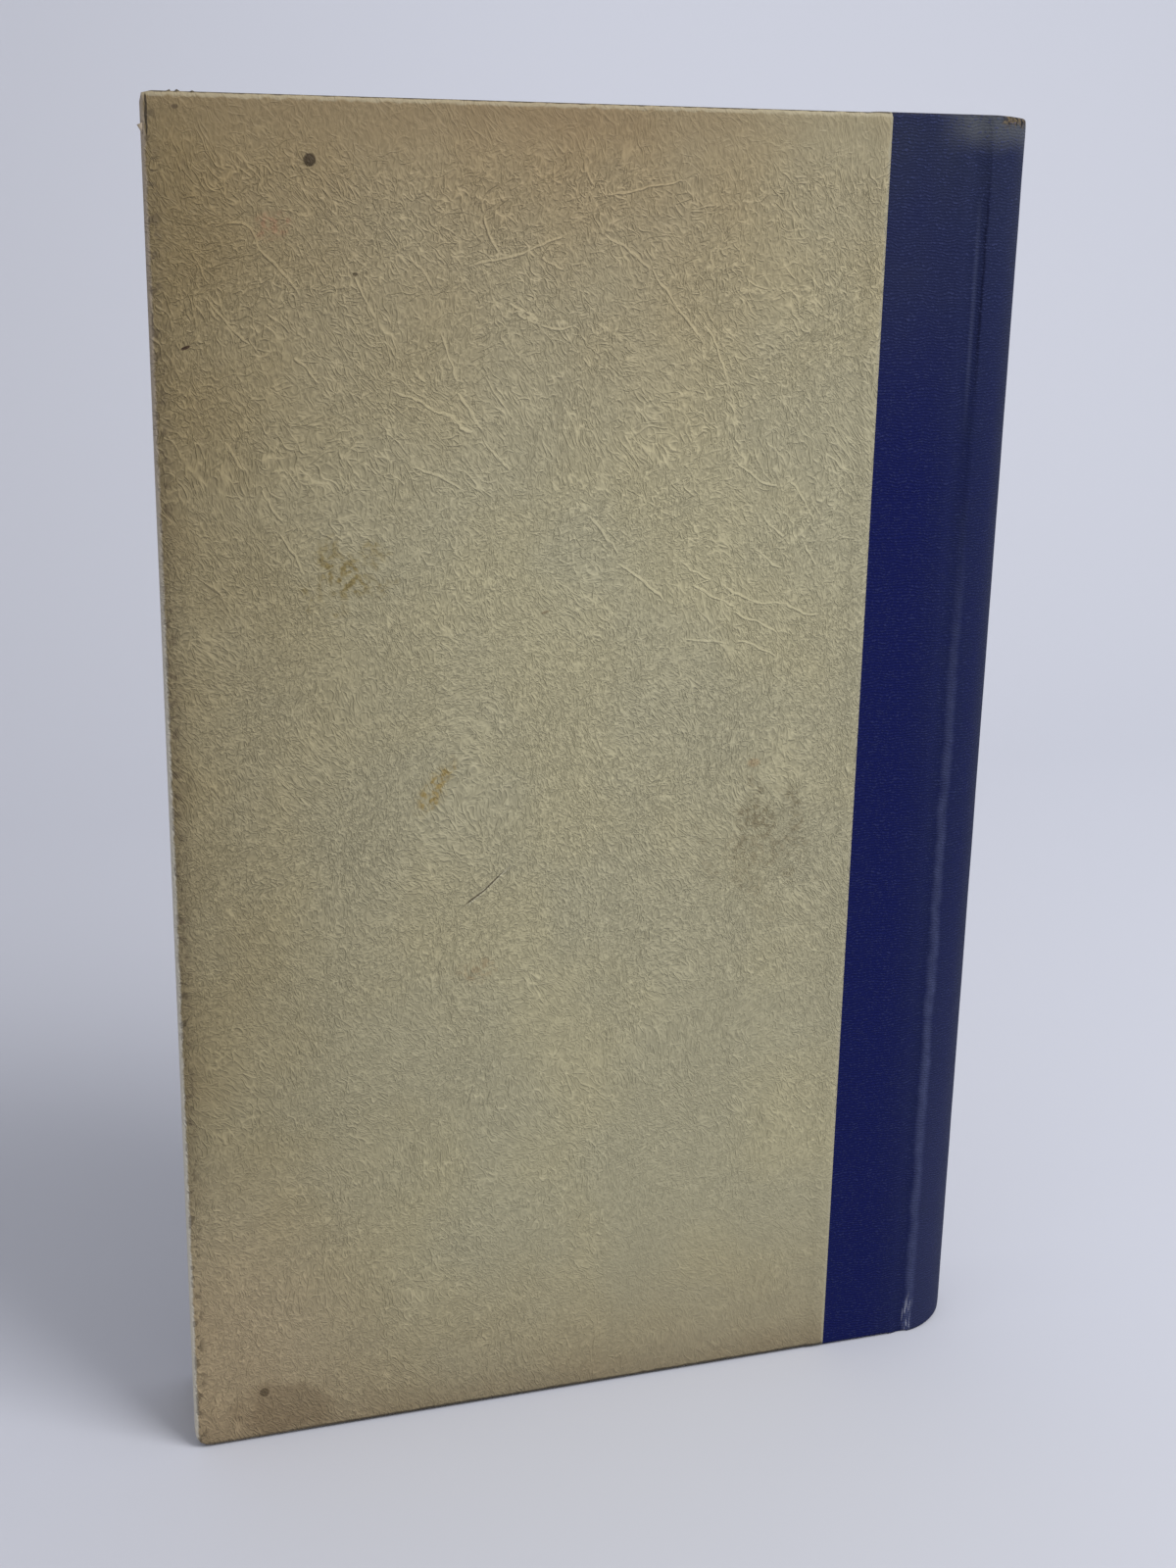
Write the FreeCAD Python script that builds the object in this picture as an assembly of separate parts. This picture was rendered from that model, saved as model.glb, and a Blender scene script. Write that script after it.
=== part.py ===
import FreeCAD, Part
import math
import os

# A quarter-bound hardback book that stands upright on its tail.
# Every piece is drawn with the back board's fore edge at x = 0, the outer face of the
# back cover at y = 0 and the table at z = 0. At the end everything moves to the middle
# of the book's box. +X is the spine, -Y the back cover, +Z the head. Sizes are in mm.

# Driving sizes of the case
overall_height = 222.0      # head to tail over the covers, demy octavo
board_width = 130.8         # fore edge to joint, of one board
board_thickness = 2.4       # greyboard
board_corner_head = 0.8     # worn round corner at the fore edge, upper
board_corner_tail = 2.2     # worn round corner at the fore edge, lower
board_arris = 0.5           # rounding of the board's long edges
side_paper = 0.2            # embossed paper on the sides
book_cloth = 0.3            # cloth on the spine and the strip beside it
seam_from_fore_edge = 117.1 # where the paper ends and the cloth shows
paper_over_cloth = 2.0      # how far the paper laps over the cloth
turn_in = 15.0              # how far paper and cloth fold round the boards
joint_width = 4.2           # board's edge to the ridge beside the spine
hinge_from_board = 1.6      # board's edge to the line the cover turns on
hinge_slot = 0.2            # slot in the cloth on that line, where it bends
groove_depth = 0.5          # shallow hollow of the joint
ridge_below_cover = 0.3     # the ridge lies this much under the cover's face
spine_flatness = 3.2        # the spine's centre lies this far inside its two ridges
spine_card = 0.6            # stiffener inside the cloth spine
spine_card_inset = 0.8      # from the ridge to the card's edge
roll = 3.2                  # the front cover has shifted this far towards the spine

# Driving sizes of the text block and what holds it
text_thickness = 16.9       # all the pages, pressed
square = 3.0                # the boards stand out past the pages by this much
fore_edge_hollow = 3.8      # depth of the pages' curved fore edge
shoulder_gap = 1.5          # board's edge to the foot of the pages' shoulder
endpaper = 0.15             # pastedown and flyleaf
page_air = 0.1              # between pastedown and flyleaf
mull = 0.25                 # open-weave cloth glued over the pages' backs
mull_short = 12.0           # the mull stops this far short of head and tail
mull_flange = 25.0          # how far it reaches under each pastedown
mull_flange_inset = 1.0     # between the flange and the turned-in cloth
lining = 0.2                # paper over the mull
lining_short = 1.0          # the lining stops this far short of head and tail
spine_hollow = 0.3          # air between the lining and the case's spine
band_bead = 0.8             # radius of the headband's bead
band_skirt = 10.0           # height of the tape it is woven on
band_inset = 1.6            # from the shoulder to the headband's end

# Worked out from the sizes above
wrap = book_cloth + side_paper
board_outer = wrap
board_inner = board_outer + board_thickness
cover_depth = board_inner + wrap + endpaper
flyleaf_outer = cover_depth + page_air
text_back = flyleaf_outer + endpaper
overall_thickness = text_thickness + 2 * text_back
board_fore = side_paper
board_end = board_fore + board_width
board_foot = wrap
board_head = overall_height - wrap
cloth_start = seam_from_fore_edge - paper_over_cloth
hinge_x = board_end + hinge_from_board
text_foot = board_foot + square
text_head = board_head - square
text_fore = board_fore + square
shoulder_foot = board_end + shoulder_gap

# The spine is one arc through the two ridges, and every layer under it shares its centre
ridge_back = (board_end + joint_width, ridge_below_cover)
ridge_front = (ridge_back[0] + roll, overall_thickness - ridge_below_cover)
ridge_middle = ((ridge_back[0] + ridge_front[0]) / 2, (ridge_back[1] + ridge_front[1]) / 2)
ridge_run = (ridge_front[0] - ridge_back[0], ridge_front[1] - ridge_back[1])
ridge_span = math.hypot(*ridge_run)
spine_centre = (ridge_middle[0] - spine_flatness * ridge_run[1] / ridge_span,
                ridge_middle[1] + spine_flatness * ridge_run[0] / ridge_span)
spine_radius = math.hypot(ridge_span / 2, spine_flatness)
angle_back = math.atan2(ridge_back[1] - spine_centre[1], ridge_back[0] - spine_centre[0])
angle_front = math.atan2(ridge_front[1] - spine_centre[1], ridge_front[0] - spine_centre[0])
overall_length = spine_centre[0] + spine_radius
card_outer = spine_radius - book_cloth
card_inner = card_outer - spine_card
case_inner = card_inner - book_cloth
lining_outer = case_inner - spine_hollow
lining_inner = lining_outer - lining
text_radius = lining_inner - mull


def point(xy, z=0.0):
    """A point of the plan at a height."""
    return FreeCAD.Vector(xy[0], xy[1], z)


def on_spine(radius, angle):
    """The plan point at a radius and an angle about the spine's centre."""
    return (spine_centre[0] + radius * math.cos(angle),
            spine_centre[1] + radius * math.sin(angle))


def line(a, b):
    """A straight edge between two plan points."""
    return Part.makeLine(point(a), point(b))


def arc(a, middle, b):
    """A round edge through three plan points."""
    return Part.Arc(point(a), point(middle), point(b)).toShape()


def raised(edges, low, high):
    """The solid over a closed outline of plan edges, between two heights."""
    solid = Part.Face(Part.Wire(edges)).extrude(FreeCAD.Vector(0, 0, high - low))
    return solid.translated(FreeCAD.Vector(0, 0, low))


def slab(x0, x1, y0, y1, z0, z1):
    """A box between two corners."""
    return Part.makeBox(x1 - x0, y1 - y0, z1 - z0, FreeCAD.Vector(x0, y0, z0))


def joined(shapes):
    """One solid from shapes that meet."""
    return shapes[0].multiFuse(shapes[1:]).removeSplitter()


def spine_layer(outer, inner, low, high, inset=0.0):
    """A curved layer of the spine between two radii, its edges inset from the ridges."""
    middle = (angle_back + angle_front) / 2
    start = angle_back + inset / outer
    end = angle_front - inset / outer
    edges = [arc(on_spine(outer, start), on_spine(outer, middle), on_spine(outer, end)),
             line(on_spine(outer, end), on_spine(inner, end)),
             arc(on_spine(inner, end), on_spine(inner, middle), on_spine(inner, start)),
             line(on_spine(inner, start), on_spine(outer, start))]
    return raised(edges, low, high)


def joint_strip(above, below, low, high, front=False):
    """A joint's hollow between two depths, from the board's edge to the ridge.

    The front joint is drawn here as the back cover lies, ready for facing_front.
    """
    def across(depth):
        start = (board_end, board_outer - book_cloth + depth)
        end = on_spine(spine_radius - depth, angle_front if front else angle_back)
        if front:
            end = (end[0] - roll, overall_thickness - end[1])
        dip = ((start[0] + end[0]) / 2, (start[1] + end[1]) / 2 + groove_depth)
        return start, dip, end

    top_start, top_dip, top_end = across(above)
    low_start, low_dip, low_end = across(below)
    edges = [arc(top_start, top_dip, top_end), line(top_end, low_end),
             arc(low_end, low_dip, low_start), line(low_start, top_start)]
    return raised(edges, low, high)


def joint_cloth(x0, x1, front=False):
    """The joint's cloth between two places, doubled where it is turned in at the ends."""
    low = board_foot - book_cloth
    high = board_head + book_cloth
    strips = [joint_strip(0.0, book_cloth, low, high, front),
              joint_strip(book_cloth, 2 * book_cloth, low, board_foot + turn_in, front),
              joint_strip(book_cloth, 2 * book_cloth, board_head - turn_in, high, front)]
    reach = slab(x0, x1, -wrap, overall_thickness + wrap, -wrap, overall_height + wrap)
    return [strip.common(reach) for strip in strips]


def facing_front(shape):
    """The front cover's copy of a back cover piece, shifted by the roll."""
    turned = shape.mirror(FreeCAD.Vector(0, overall_thickness / 2, 0), FreeCAD.Vector(0, 1, 0))
    return turned.translated(FreeCAD.Vector(roll, 0, 0))


def board_form(grow):
    """The back board, or what covers it when it grows on all sides but the joint's."""
    fore = board_fore - grow
    foot = board_foot - grow
    head = board_head + grow
    r_foot = board_corner_tail + grow
    r_head = board_corner_head + grow
    half = math.sqrt(0.5)
    y = board_outer - grow

    def at(x, z):
        return FreeCAD.Vector(x, y, z)

    edges = [Part.makeLine(at(board_end, foot), at(fore + r_foot, foot)),
             Part.Arc(at(fore + r_foot, foot),
                      at(fore + r_foot * (1 - half), foot + r_foot * (1 - half)),
                      at(fore, foot + r_foot)).toShape(),
             Part.makeLine(at(fore, foot + r_foot), at(fore, head - r_head)),
             Part.Arc(at(fore, head - r_head),
                      at(fore + r_head * (1 - half), head - r_head * (1 - half)),
                      at(fore + r_head, head)).toShape(),
             Part.makeLine(at(fore + r_head, head), at(board_end, head)),
             Part.makeLine(at(board_end, head), at(board_end, foot))]
    depth = board_thickness + 2 * grow
    solid = Part.Face(Part.Wire(edges)).extrude(FreeCAD.Vector(0, depth, 0))
    rim = []
    for edge in solid.Edges:
        box = edge.BoundBox
        in_one_face = box.YLength < board_thickness / 2
        at_joint = box.XMin > board_end - board_thickness / 2
        if in_one_face and not at_joint:
            rim.append(edge)
    return solid.makeFillet(board_arris + grow, rim)


def cover_board():
    """Greyboard, the stiff core of the cover."""
    return board_form(0.0)


def inside_turn_ins(start):
    """The space on the board's inner face that the turned-in edges leave free."""
    return slab(start, board_end + turn_in, board_inner, board_inner + 2 * wrap,
                board_foot + turn_in, board_head - turn_in)


def cover_cloth():
    """The cloth beside the spine: on the board, turned in at head and tail, to the hinge."""
    strip = slab(cloth_start, board_end, -wrap, board_inner + 2 * wrap, -wrap,
                 overall_height + wrap)
    on_board = board_form(book_cloth).common(strip).cut(board_form(0.0))
    on_board = on_board.cut(inside_turn_ins(board_fore))
    return joined([on_board] + joint_cloth(board_end, hinge_x - hinge_slot / 2))


def cover_paper(cloth):
    """The side paper: over three edges of the board, lapping over the cloth at its seam."""
    riser = cloth_start - side_paper
    tall = overall_height + wrap
    deep = board_inner + 2 * wrap
    main_area = slab(-wrap, cloth_start, -wrap, deep, -wrap, tall)
    lap_area = slab(riser, seam_from_fore_edge, -wrap, deep, -wrap, tall)
    main = board_form(side_paper).common(main_area)
    lap = board_form(wrap).common(lap_area)
    whole = joined([main, lap]).cut(board_form(0.0)).cut(cloth)
    return whole.cut(inside_turn_ins(board_fore + turn_in))


def cover_flange():
    """The end of the mull, glued to the board's inner face under the pastedown."""
    low = board_foot + turn_in + mull_flange_inset
    high = board_head - turn_in - mull_flange_inset
    return slab(board_end - mull_flange, board_end, board_inner, board_inner + mull, low, high)


def pastedown(cloth, paper, flange):
    """The sheet on the board's inner face: it lies over the turned-in edges and the flange."""
    fore = board_fore + square
    low = board_foot + square
    high = board_head - square
    inner_low = board_foot + turn_in + endpaper
    inner_high = board_head - turn_in - endpaper
    on_paper = board_inner + side_paper + endpaper
    on_cloth = board_inner + book_cloth + endpaper
    on_both = board_inner + wrap + endpaper
    lap_end = seam_from_fore_edge + endpaper
    sheet = [slab(fore, board_end, board_inner, board_inner + endpaper, low, high),
             slab(fore, board_fore + turn_in + endpaper, board_inner, on_paper, low, high),
             slab(board_end - mull_flange - endpaper, board_end, board_inner,
                  board_inner + mull + endpaper,
                  board_foot + turn_in + mull_flange_inset - endpaper,
                  board_head - turn_in - mull_flange_inset + endpaper)]
    for z0, z1 in ((low, inner_low), (inner_high, high)):
        sheet.append(slab(fore, lap_end, board_inner, on_paper, z0, z1))
        sheet.append(slab(cloth_start - endpaper, board_end, board_inner, on_cloth, z0, z1))
        sheet.append(slab(cloth_start - side_paper - endpaper, lap_end, board_inner, on_both,
                          z0, z1))
    whole = joined(sheet)
    for under in (cloth, paper, flange):
        whole = whole.cut(under)
    return whole


def text_outline(back_level, front_level):
    """The plan of the pages: curved fore edge, flat faces, two shoulders, round back."""
    tip_back = on_spine(text_radius, angle_back)
    tip_front = on_spine(text_radius, angle_front)
    crown = on_spine(text_radius, (angle_back + angle_front) / 2)
    fore_back = (text_fore, back_level)
    fore_front = (text_fore + roll, front_level)
    hollow = (text_fore + roll / 2 + fore_edge_hollow, (back_level + front_level) / 2)
    foot_back = (shoulder_foot, back_level)
    foot_front = (shoulder_foot + roll, front_level)
    return [line(fore_back, foot_back), line(foot_back, tip_back),
            arc(tip_back, crown, tip_front), line(tip_front, foot_front),
            line(foot_front, fore_front), arc(fore_front, hollow, fore_back)]


def text_block():
    """All the pages, sewn and backed, as one block."""
    outline = text_outline(text_back, overall_thickness - text_back)
    return raised(outline, text_foot, text_head)


def flyleaf():
    """The free half of the back endpaper, lying on the pages."""
    return slab(text_fore, shoulder_foot, flyleaf_outer, text_back, text_foot, text_head)


def spine_mull():
    """Open-weave cloth over the pages' backs, from shoulder to shoulder."""
    return spine_layer(text_radius + mull, text_radius, text_foot + mull_short,
                       text_head - mull_short)


def spine_lining():
    """Strong paper over the mull and the headbands' tapes."""
    return spine_layer(lining_outer, lining_inner, text_foot + lining_short,
                       text_head - lining_short)


def spine_stiffener():
    """The card that keeps the case's spine round."""
    return spine_layer(card_outer, card_inner, board_foot, board_head, spine_card_inset)


def spine_cloth():
    """The cloth round the spine, from hinge to hinge, folded over the card's two ends."""
    low = board_foot - book_cloth
    high = board_head + book_cloth
    pieces = [spine_layer(spine_radius, card_outer, low, high)]
    for outer_end, card_end, reach in ((low, board_foot, board_foot + turn_in),
                                       (high, board_head, board_head - turn_in)):
        z0, z1 = sorted((outer_end, reach))
        pieces.append(spine_layer(card_inner, case_inner, z0, z1, spine_card_inset))
        z0, z1 = sorted((outer_end, card_end))
        pieces.append(spine_layer(card_outer, card_inner, z0, z1, spine_card_inset))
    hinge_side = hinge_x + hinge_slot / 2
    pieces += joint_cloth(hinge_side, ridge_back[0])
    pieces += [facing_front(strip) for strip in joint_cloth(hinge_side, ridge_back[0], True)]
    return joined(pieces)


def end_band(at_head):
    """A headband: a rolled bead on the pages' end, with its tape glued down their backs."""
    edge = text_head if at_head else text_foot
    out = 1.0 if at_head else -1.0
    start = angle_back + band_inset / text_radius
    turn = math.degrees(angle_front - angle_back - 2 * band_inset / text_radius)
    middle = edge + out * band_bead / 2
    centre = on_spine(text_radius + mull - band_bead, start)
    ring = Part.makeCircle(band_bead, point(centre, middle),
                           FreeCAD.Vector(-math.sin(start), math.cos(start), 0))
    bead = Part.Face(Part.Wire([ring])).revolve(point(spine_centre), FreeCAD.Vector(0, 0, 1),
                                                turn)
    z0, z1 = sorted((edge - out * band_skirt, middle))
    tape = spine_layer(text_radius + mull, text_radius, z0, z1, band_inset)
    return joined([bead, tape])


def save(name, shape):
    """Moves a finished piece to the middle of the book's box and writes its file."""
    placed = shape.translated(FreeCAD.Vector(-overall_length / 2, -overall_thickness / 2, 0))
    placed.exportStep("parts/" + name + ".step")
    print(name, "solids", len(placed.Solids), "valid", placed.isValid(),
          "volume", round(placed.Volume, 1))


os.makedirs("parts", exist_ok=True)

board = cover_board()
cloth = cover_cloth()
paper = cover_paper(cloth)
flange = cover_flange()
inner_sheet = pastedown(cloth, paper, flange)
pages = text_block()

for name, shape in (("board", board), ("cover_cloth", cloth), ("side_paper", paper),
                    ("mull_flange", flange), ("pastedown", inner_sheet),
                    ("flyleaf", flyleaf())):
    save("back_" + name, shape)
    save("front_" + name, facing_front(shape))

save("text_block", pages)
save("spine_mull", spine_mull())
save("spine_lining", spine_lining())
save("spine_card", spine_stiffener())
save("spine_cloth", spine_cloth())
save("head_band", end_band(True).cut(pages))
save("tail_band", end_band(False).cut(pages))
print("size", round(overall_length, 3), round(overall_thickness, 3), overall_height)
print("hinge lines at x", round(hinge_x - overall_length / 2, 4), "and",
      round(hinge_x + roll - overall_length / 2, 4), "y", round(overall_thickness / 2, 4))
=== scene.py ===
import math
import random

import bmesh
import bpy
from mathutils import Matrix, Vector, noise


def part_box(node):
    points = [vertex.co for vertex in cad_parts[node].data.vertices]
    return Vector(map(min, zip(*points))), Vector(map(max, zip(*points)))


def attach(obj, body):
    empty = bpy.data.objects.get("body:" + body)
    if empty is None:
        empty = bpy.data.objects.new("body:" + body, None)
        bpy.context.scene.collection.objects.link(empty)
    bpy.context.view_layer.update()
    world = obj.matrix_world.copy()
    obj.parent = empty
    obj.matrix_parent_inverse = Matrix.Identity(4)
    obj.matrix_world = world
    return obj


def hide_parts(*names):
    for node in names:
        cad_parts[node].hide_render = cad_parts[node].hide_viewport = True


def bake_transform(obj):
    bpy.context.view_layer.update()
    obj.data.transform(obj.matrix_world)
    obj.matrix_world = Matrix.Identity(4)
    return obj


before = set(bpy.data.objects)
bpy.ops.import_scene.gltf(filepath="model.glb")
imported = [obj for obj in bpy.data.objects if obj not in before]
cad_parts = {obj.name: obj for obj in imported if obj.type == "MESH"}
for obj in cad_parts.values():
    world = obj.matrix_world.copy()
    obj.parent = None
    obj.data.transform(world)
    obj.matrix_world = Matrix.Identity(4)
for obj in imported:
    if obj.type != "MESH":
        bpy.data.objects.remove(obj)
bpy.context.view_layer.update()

# The pages: eighteen folded sections of eight leaves, sewn through their folds, then rounded and
# backed, so that the outer leaves lean out over two shoulders. Cream paper, toned at its edges.
mm = 0.001
sections = 18
leaves_in_section = 8
leaf_thickness = 0.1 * mm
leaf_columns_flat = 3
leaf_columns_bent = 7
leaf_rows = 3
fore_edge_hollow = 3.8 * mm
fore_edge_unevenness = 0.14 * mm
head_unevenness = 0.05 * mm
bend_before_shoulder = 3.0 * mm
shoulder_from_board = 1.5 * mm
section_pinch = 0.55
spine_radius = 12.474 * mm
spine_centre_above_middle = 0.425 * mm
spine_starts = math.radians(-82.8)
spine_ends = math.radians(67.5)

spine_low, spine_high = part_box("spine_cloth")
text_low, text_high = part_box("text_block")
back_leaf_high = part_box("back_flyleaf")[1]
front_leaf_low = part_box("front_flyleaf")[0]
back_board_low, back_board_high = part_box("back_board")
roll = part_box("front_board")[0].x - back_board_low.x
spine_x = spine_high.x - spine_radius
spine_y = spine_centre_above_middle
text_radius = text_high.x - spine_x


def on_spine(radius, angle):
    """The plan point at a radius and an angle about the centre of the rounded spine."""
    return Vector((spine_x + radius * math.cos(angle), spine_y + radius * math.sin(angle), 0))


def mesh_object(name, shape, *finishes):
    """An object at the origin from a finished bmesh, with its materials."""
    mesh = bpy.data.meshes.new(name)
    shape.to_mesh(mesh)
    shape.free()
    made = bpy.data.objects.new(name, mesh)
    bpy.context.scene.collection.objects.link(made)
    for finish in finishes:
        mesh.materials.append(finish)
    mesh.polygons.foreach_set("use_smooth", [True] * len(mesh.polygons))
    return made


def thicken(piece, thickness, offset):
    """Gives a sheet its thickness: offset -1 grows inwards from the outer face, 0 both ways."""
    wall = piece.modifiers.new("thickness", "SOLIDIFY")
    wall.thickness = thickness
    wall.offset = offset
    wall.use_rim = True
    wall.use_even_offset = False


class Shade:
    """A socket in a material. Python's own operators on it add the Math nodes."""

    def __init__(self, socket, flat=False):
        self.socket = socket
        self.flat = flat

    def node(self, kind, settings, sockets, out=0):
        """Any other node: its settings are set first, then its sockets' values or links."""
        tree = self.socket.id_data
        made = tree.nodes.new(kind)
        for key, value in settings.items():
            setattr(made, key, value)
        for key, value in sockets.items():
            if isinstance(value, Shade):
                tree.links.new(value.socket, made.inputs[key])
            else:
                made.inputs[key].default_value = value
        return Shade(made.outputs[out], self.flat)

    def laid_flat(self):
        """This place by its X and Z alone, for the patterns of a flat sheet."""
        flat = self.node("ShaderNodeCombineXYZ", {}, {0: self.part(0), 1: self.part(2)})
        return Shade(flat.socket, True)

    def math(self, operation, *values):
        return self.node("ShaderNodeMath", {"operation": operation},
                         dict(enumerate((self,) + values)))

    def __add__(self, other):
        return self.math("ADD", other)

    __radd__ = __add__

    def __sub__(self, other):
        return self.math("SUBTRACT", other)

    def __rsub__(self, other):
        return (self * -1.0) + other

    def __mul__(self, other):
        return self.math("MULTIPLY", other)

    __rmul__ = __mul__

    def __truediv__(self, other):
        return self.math("DIVIDE", other)

    def __pow__(self, other):
        return self.math("POWER", other)

    def __abs__(self):
        return self.math("ABSOLUTE")

    def step(self, low, high):
        """0 before low, 1 after high and smooth between; the other way if low is the larger."""
        return self.node("ShaderNodeMapRange", {"interpolation_type": "SMOOTHSTEP"},
                         {0: self, 1: low, 2: high, 3: 0.0, 4: 1.0})

    def larger(self, other):
        return self.math("MAXIMUM", other)

    def mix(self, a, b):
        """Colour a where this mask is 0, and b where it is 1."""
        return self.node("ShaderNodeMix", {"data_type": "RGBA"}, {0: self, 6: a, 7: b}, 2)

    def tinted(self, amount):
        """This colour made lighter or darker by a number or a mask."""
        return self.node("ShaderNodeMix", {"data_type": "RGBA", "blend_type": "MULTIPLY"},
                         {0: 1.0, 6: self, 7: amount}, 2)

    def grain(self, size, detail=2.0, bend=0.0, rough=0.5):
        """Noise of one size, in metres, at this place."""
        return self.node("ShaderNodeTexNoise", {"noise_dimensions": "2D" if self.flat else "3D"},
                         {"Vector": self, "Scale": 1.0 / size, "Detail": detail,
                          "Roughness": rough, "Distortion": bend})

    def wandered(self, size, amount):
        """This place pushed about by noise of one size, by up to an amount."""
        push = self.node("ShaderNodeTexNoise", {"noise_dimensions": "2D" if self.flat else "3D"},
                         {"Vector": self, "Scale": 1.0 / size, "Detail": 0.0}, 1)
        return self.node("ShaderNodeVectorMath", {"operation": "MULTIPLY_ADD"},
                         {0: push, 1: (amount, amount, 0.0 if self.flat else amount), 2: self})

    def turned(self, angle, cell):
        """This place turned about Y, measured in cells of a size along and across the turn."""
        turn = (0.0, 0.0, -angle) if self.flat else (0.0, angle, 0.0)
        size = (cell[0], cell[2], 1.0) if self.flat else cell
        return self.node("ShaderNodeMapping", {"vector_type": "TEXTURE"},
                         {"Vector": self, "Rotation": turn, "Scale": size})

    def part(self, axis):
        return self.node("ShaderNodeSeparateXYZ", {}, {0: self}, axis)

    def crest(self, width):
        """Thin winding ridges, where this noise passes its middle value."""
        return (1.0 - abs(self - 0.5) / width).larger(0.0)


def paint(red, green, blue):
    """A colour as it is seen, 0 to 255, as the linear one that the shader takes."""
    def linear(value):
        value /= 255
        return value / 12.92 if value <= 0.04045 else ((value + 0.055) / 1.055) ** 2.4
    return (linear(red), linear(green), linear(blue), 1.0)


def new_finish(name, roughness, gloss=0.5, bends=False):
    """A material, its main shader and the place that its patterns follow. On a piece that bends
    at a joint, that is each point's own place at rest."""
    finish = bpy.data.materials.new(name)
    finish.use_nodes = True
    tree = finish.node_tree
    shader = tree.nodes["Principled BSDF"]
    shader.inputs["Roughness"].default_value = roughness
    shader.inputs["Specular IOR Level"].default_value = gloss
    if bends:
        kept = tree.nodes.new("ShaderNodeAttribute")
        kept.attribute_name = "rest_place"
        return finish, shader, Shade(kept.outputs["Vector"])
    return finish, shader, Shade(tree.nodes.new("ShaderNodeTexCoord").outputs["Object"])


def feed(shader, name, value):
    """Links a varying value to one socket of the main shader."""
    shader.id_data.links.new(value.socket, shader.inputs[name])


def feed_relief(shader, height, depth):
    """Raises the surface by a height mask, whose full range is so many metres deep."""
    bump = height.node("ShaderNodeBump", {},
                       {"Strength": 1.0, "Distance": depth, "Height": height})
    feed(shader, "Normal", bump)


leaf_count = sections * leaves_in_section
pages_shape = bmesh.new()
drawn = random.Random(7)
for number in range(leaf_count):
    level = (number + 0.5) / leaf_count
    in_section = (number // leaves_in_section + 0.5) / sections
    angle = spine_starts + level * (spine_ends - spine_starts)
    pinched = level + (in_section - level) * section_pinch
    end_angle = spine_starts + pinched * (spine_ends - spine_starts)
    y = back_leaf_high.y + level * (front_leaf_low.y - back_leaf_high.y)
    fore_x = (text_low.x + roll * level + fore_edge_hollow * 4 * level * (1 - level)
              + drawn.uniform(0, fore_edge_unevenness))
    foot_x = back_board_high.x + shoulder_from_board + roll * level
    head_z = text_high.z - drawn.uniform(0, head_unevenness)
    bend_from = Vector((foot_x - bend_before_shoulder, y, 0))
    bend_by = Vector((max(foot_x, on_spine(text_radius, angle).x - bend_before_shoulder), y, 0))
    bend_to = on_spine(text_radius - leaf_thickness, end_angle)
    along = [Vector((fore_x, y, 0)).lerp(bend_from, step / leaf_columns_flat)
             for step in range(leaf_columns_flat)]
    for step in range(leaf_columns_bent + 1):
        share = step / leaf_columns_bent
        along.append(bend_from.lerp(bend_by, share).lerp(bend_by.lerp(bend_to, share), share))
    leaf = bmesh.ops.create_grid(pages_shape, x_segments=len(along) - 1, y_segments=leaf_rows,
                                 size=0.5)["verts"]
    for corner in leaf:
        place = along[round((corner.co.x + 0.5) * (len(along) - 1))]
        height = text_low.z + (corner.co.y + 0.5) * (head_z - text_low.z)
        corner.co = Vector((place.x, place.y, height))

pages_finish, shader, place = new_finish("page_edges", 0.8)
leaf_lines = place.turned(0.0, (40 * mm, 0.13 * mm, 60 * mm)).grain(1.0, 1.0)
from_fore = (place.part(0) - text_low.x - 2 * mm) / (7 * mm)
from_head = (text_high.z - place.part(2)) / (3 * mm)
from_tail = (place.part(2) - text_low.z) / (3 * mm)
toned = (from_fore.step(1.0, 0.0)).larger(from_head.step(1.0, 0.0)).larger(from_tail.step(1.0, 0.0))
toned = toned * (0.55 + 0.6 * place.grain(9 * mm, 3.0))
cream = toned.mix(paint(222, 211, 184), paint(196, 176, 136))
feed(shader, "Base Color", cream.tinted(0.72 + 0.5 * leaf_lines))
pages = mesh_object("pages", pages_shape, pages_finish)
thicken(pages, leaf_thickness, 0.0)
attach(pages, "text_and_spine")
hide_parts("text_block")


# The mull and the lining: open-weave cloth glued over the folds of the sections, with strong
# brown paper over it. The mull's two ends run on under the endpapers as flanges.
weave_pitch = 0.9 * mm


def dress(node, finish):
    """Gives a piece of the frame its finish."""
    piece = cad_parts[node]
    piece.data.materials.clear()
    piece.data.materials.append(finish)


mull_finish, shader, place = new_finish("mull", 0.9)
threads_up = abs((place.part(2) / weave_pitch).math("FRACT") - 0.5) * 2.0
threads_round = abs(((place.part(0) + place.part(1)) / weave_pitch).math("FRACT") - 0.5) * 2.0
threads = threads_up.step(0.45, 0.8).larger(threads_round.step(0.45, 0.8))
feed(shader, "Base Color", threads.mix(paint(150, 128, 92), paint(226, 218, 196)))
feed_relief(shader, threads, 0.15 * mm)
for node in ("spine_mull", "back_mull_flange", "front_mull_flange"):
    dress(node, mull_finish)

lining_finish, shader, place = new_finish("lining_paper", 0.85)
fibres = place.grain(1.5 * mm, 4.0, 0.6)
feed(shader, "Base Color", fibres.mix(paint(120, 92, 60), paint(176, 146, 104)))
feed_relief(shader, fibres, 0.05 * mm)
dress("spine_lining", lining_finish)


# The headbands: a cord wound with blue and cream thread, on a cotton tape. The tape is glued down
# the backs of the sections, so the bead sits on the ends of the pages.
bead_radius = 0.8 * mm
bead_ridge = 0.82
bead_turns = 150
bead_sides = 12
tape_length = 10.0 * mm
tape_thickness = 0.25 * mm
thread_stripe = math.radians(4.2)
thread_slant = 180.0
band_inset = 1.6 * mm
mull_radius = text_radius + tape_thickness

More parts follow.
